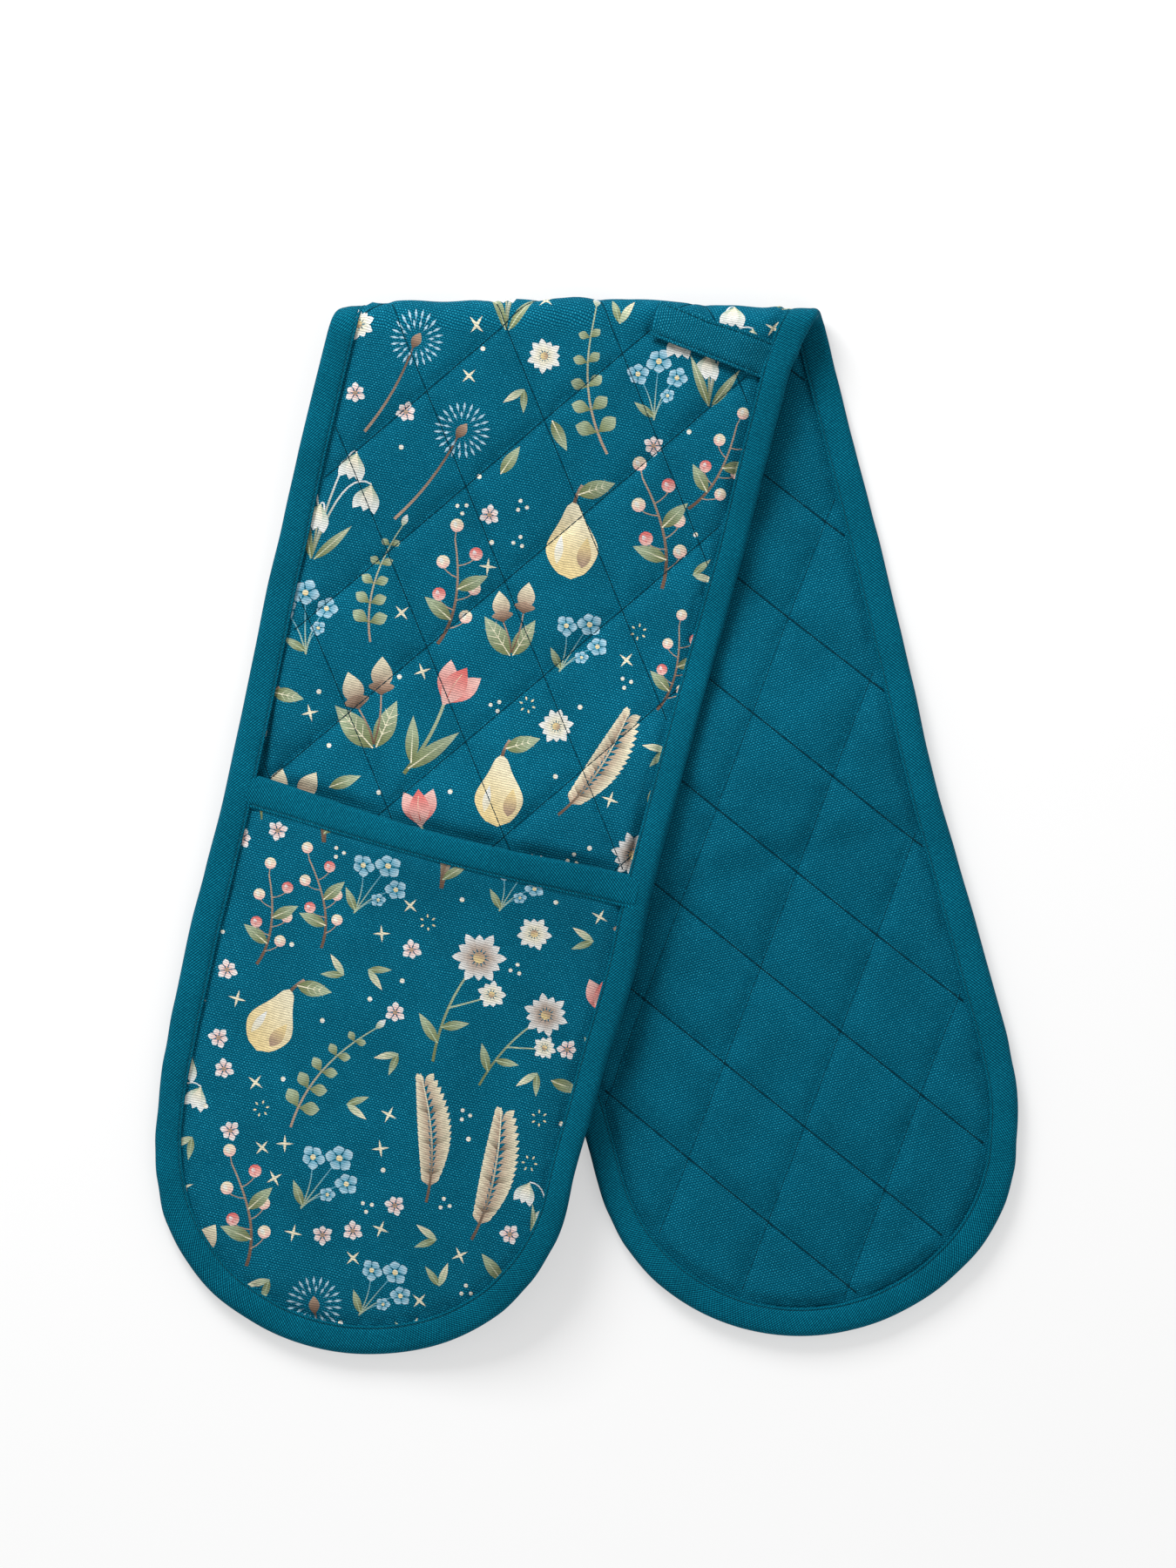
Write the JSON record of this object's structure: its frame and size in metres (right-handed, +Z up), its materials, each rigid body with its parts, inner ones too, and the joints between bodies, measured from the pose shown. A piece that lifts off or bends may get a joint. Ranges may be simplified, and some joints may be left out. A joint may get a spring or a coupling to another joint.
{
  "type": "double oven glove",
  "caption": "Quilted cloth double oven glove folded in half, with a hand pocket at each round end and a hanging loop of tape at the fold.",
  "frame": {"origin": "middle of the folded glove's outline, on the table that it lies on", "axes": "+Z up off the table, +Y towards the fold, +X to the right, the hand ends pointing to -Y"},
  "size_m": [0.3578, 0.4335, 0.0388],
  "materials": {
    "printed_canvas": "matt cotton canvas with an all-over print",
    "plain_canvas": "matt plain cotton canvas",
    "twill_tape": "matt cotton twill tape",
    "wadding": "soft polyester wadding",
    "pocket_lining": "plain cotton lining"
  },
  "bodies": {
    "rear_half": {"outer_cover_rear": "printed_canvas", "wadding_rear": "wadding", "backing_rear": "plain_canvas", "edge_binding_rear": "twill_tape", "pocket_lining_rear": "pocket_lining", "pocket_wadding_rear": "wadding", "pocket_cover_rear": "printed_canvas", "pocket_binding_rear": "twill_tape"},
    "fold_bridge": {"outer_cover_fold": "printed_canvas", "wadding_fold": "wadding", "backing_fold": "plain_canvas", "edge_binding_fold_left": "twill_tape", "edge_binding_fold_right": "twill_tape"},
    "front_half": {"outer_cover_front": "printed_canvas", "wadding_front": "wadding", "backing_front": "plain_canvas", "edge_binding_front": "twill_tape", "pocket_lining_front": "pocket_lining", "pocket_wadding_front": "wadding", "pocket_cover_front": "printed_canvas", "pocket_binding_front": "twill_tape"},
    "loop": {"hanging_loop": "twill_tape"}
  },
  "joints": [
    {"name": "fold_lower", "type": "hinge", "parent": "rear_half", "child": "fold_bridge", "pos_m": [0, 0.21207, 0.0047], "axis": [-1, 0, 0], "range_deg": [0, 85], "deforming": ["outer_cover_fold", "wadding_fold", "backing_fold", "edge_binding_fold_left", "edge_binding_fold_right"]},
    {"name": "fold_upper", "type": "hinge", "parent": "fold_bridge", "child": "front_half", "pos_m": [0, 0.21207, 0.0179], "axis": [-1, 0, 0], "range_deg": [0, 85]},
    {"name": "loop_swing", "type": "hinge", "parent": "front_half", "child": "loop", "pos_m": [0.07947, 0.19246, 0.02319], "axis": [0.2521, 0.9677, 0], "range_deg": [0, 120]}
  ],
  "couplings": [
    {"joint": "fold_upper", "follows": "fold_lower", "ratio": 1}
  ]
}
